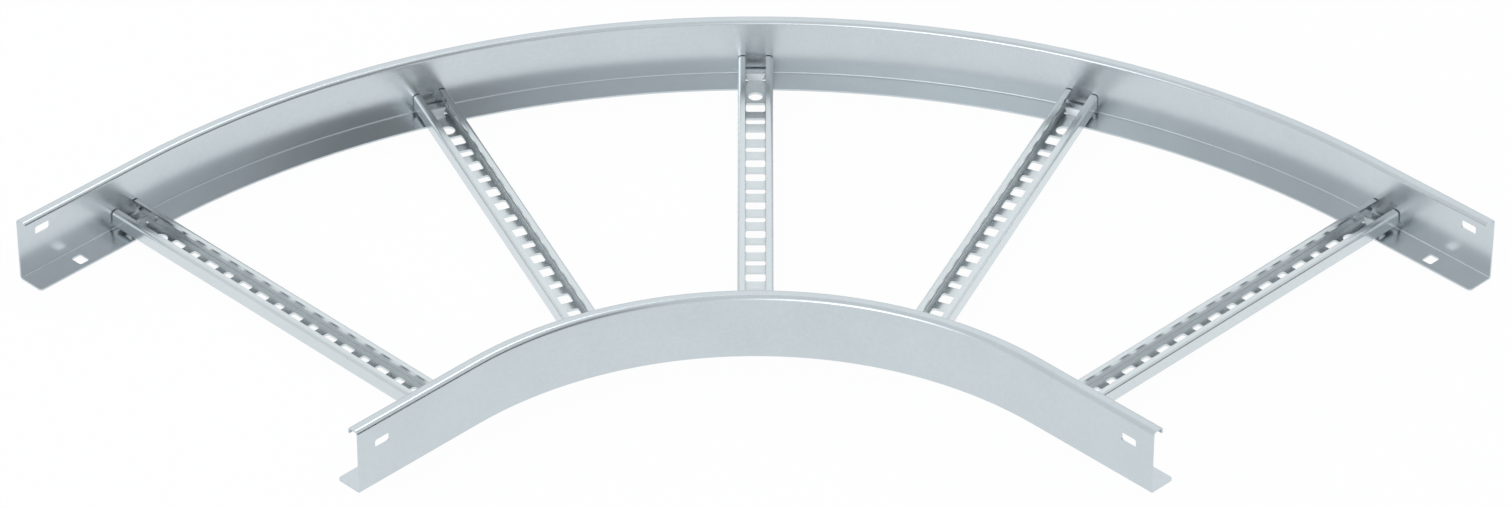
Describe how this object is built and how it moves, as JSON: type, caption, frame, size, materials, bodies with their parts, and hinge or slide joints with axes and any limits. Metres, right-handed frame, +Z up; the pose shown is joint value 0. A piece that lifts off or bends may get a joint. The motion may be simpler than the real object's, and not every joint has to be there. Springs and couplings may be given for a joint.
{
  "type": "cable ladder bend",
  "caption": "Flat ninety-degree bend of a galvanised steel cable ladder, with flanged side rails and perforated C-profile rungs held by bent lugs",
  "frame": {"origin": "middle of the footprint, on the floor under the rails", "axes": "+Z up. The first leg runs along -Y and the second along -X. The bend's centre of curvature lies towards -X and -Y, and the part is symmetrical about the plane x = y."},
  "size_m": [0.825, 0.825, 0.058],
  "materials": {
    "rail_steel": "hot-dip galvanised sheet, satin",
    "rung_steel": "hot-dip galvanised sheet, satin"
  },
  "bodies": {
    "root": {"inner_rail": "rail_steel", "outer_rail": "rail_steel", "rung_1": "rung_steel", "rung_2": "rung_steel", "rung_3": "rung_steel", "rung_4": "rung_steel", "rung_5": "rung_steel"}
  },
  "joints": []
}
